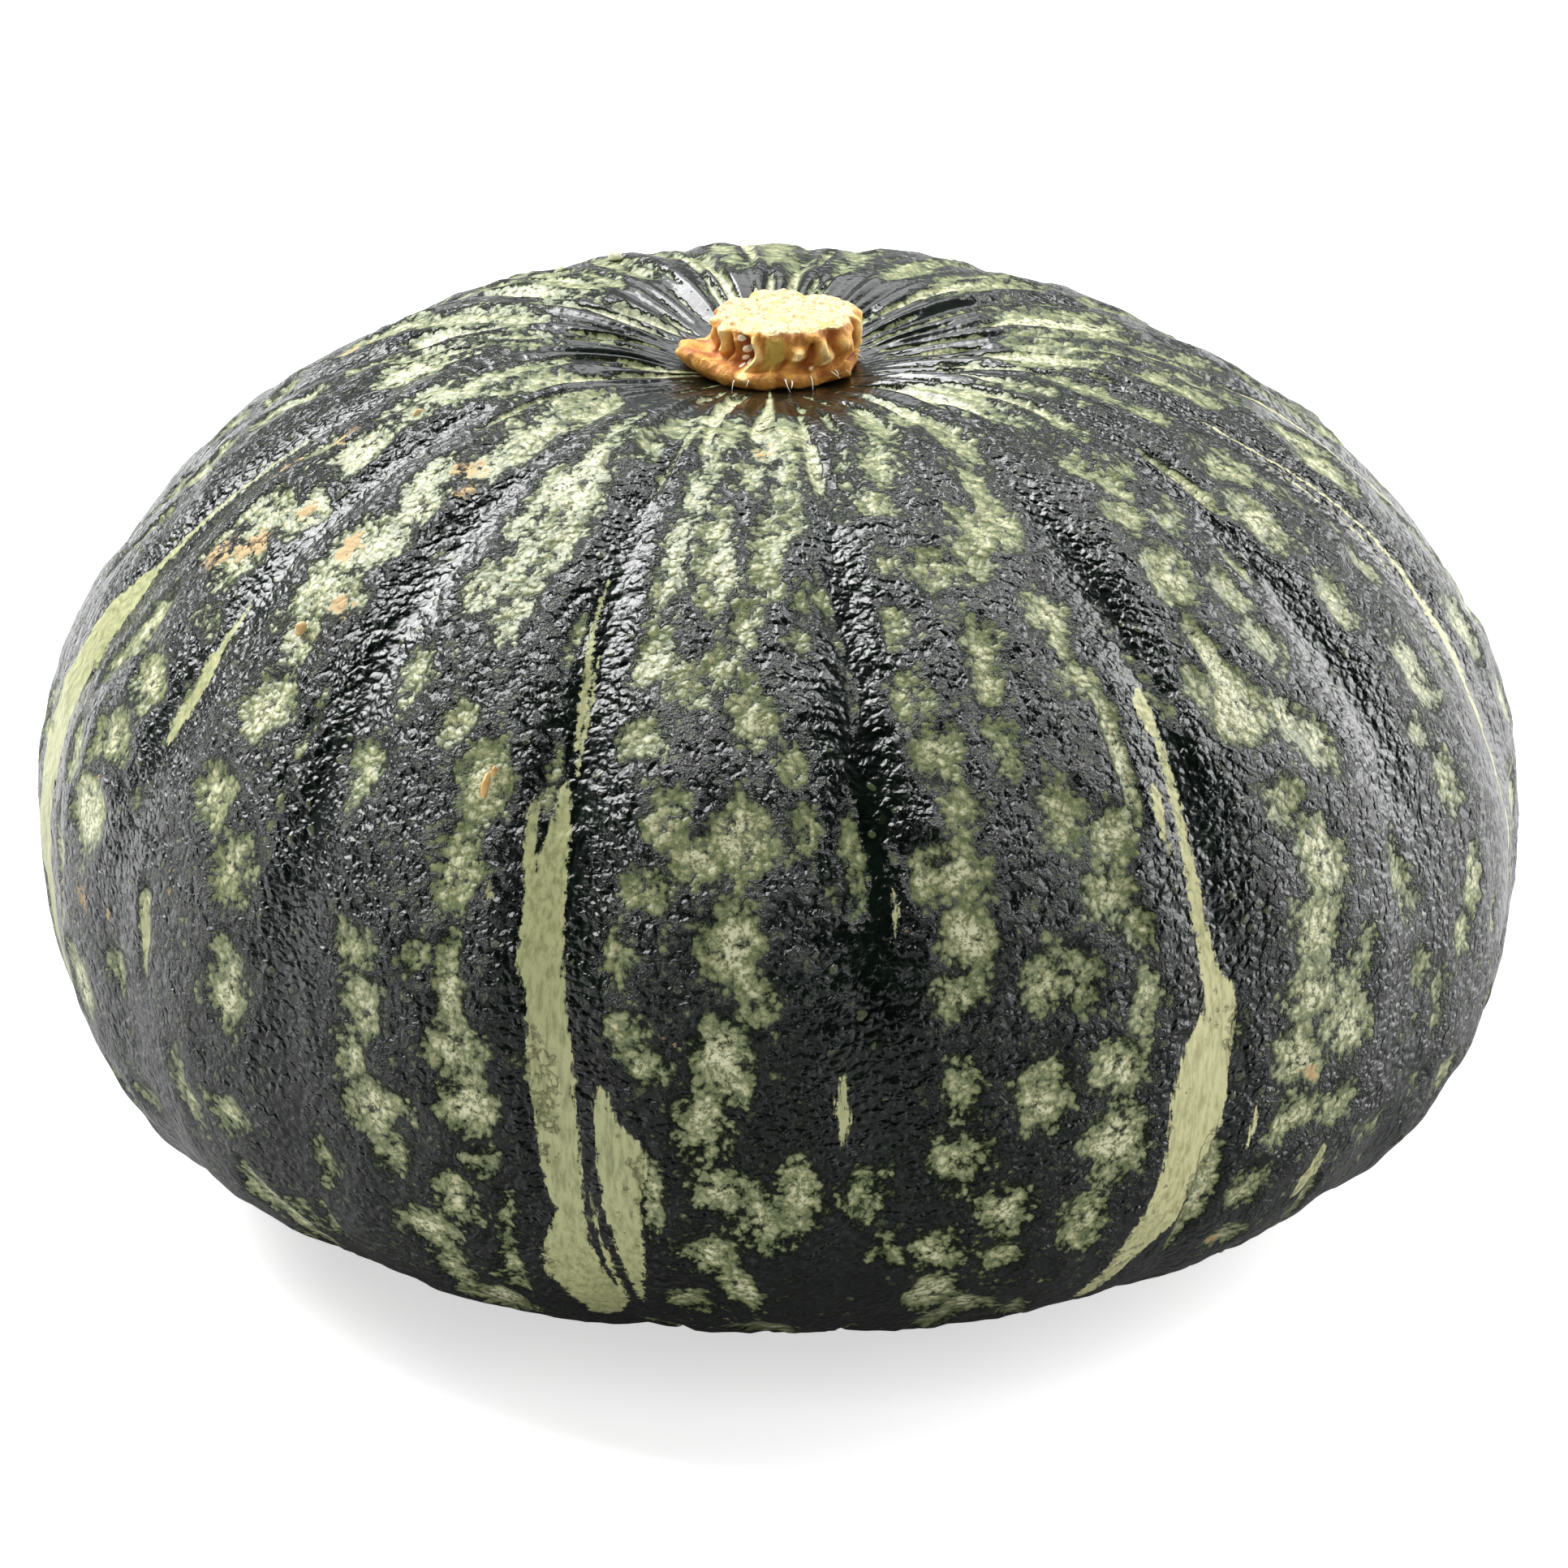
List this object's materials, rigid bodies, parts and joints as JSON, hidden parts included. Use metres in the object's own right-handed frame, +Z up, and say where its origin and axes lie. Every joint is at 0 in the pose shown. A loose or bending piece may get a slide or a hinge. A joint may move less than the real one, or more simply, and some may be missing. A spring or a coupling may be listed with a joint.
{
  "type": "buttercup squash",
  "caption": "Whole buttercup squash, a squat ribbed fruit with dark green mottled rind and a short corky cut stem, standing on its flat base.",
  "frame": {"origin": "centre of the flat spot that the squash rests on, at the bottom of its box", "axes": "+Z up through the stem; -Y is the front, where the two widest pale stripes are; +X is to the right of the front"},
  "size_m": [0.1844, 0.184, 0.1133],
  "materials": {
    "rind": "waxy dark green rind with a fine pebbled relief, sage green mottling and pale green stripes",
    "stem_cork": "dry corky stem, orange brown folded side and pale cream cut face"
  },
  "bodies": {
    "root": {"squash_body": "rind", "stem_stub": "stem_cork"}
  },
  "joints": []
}
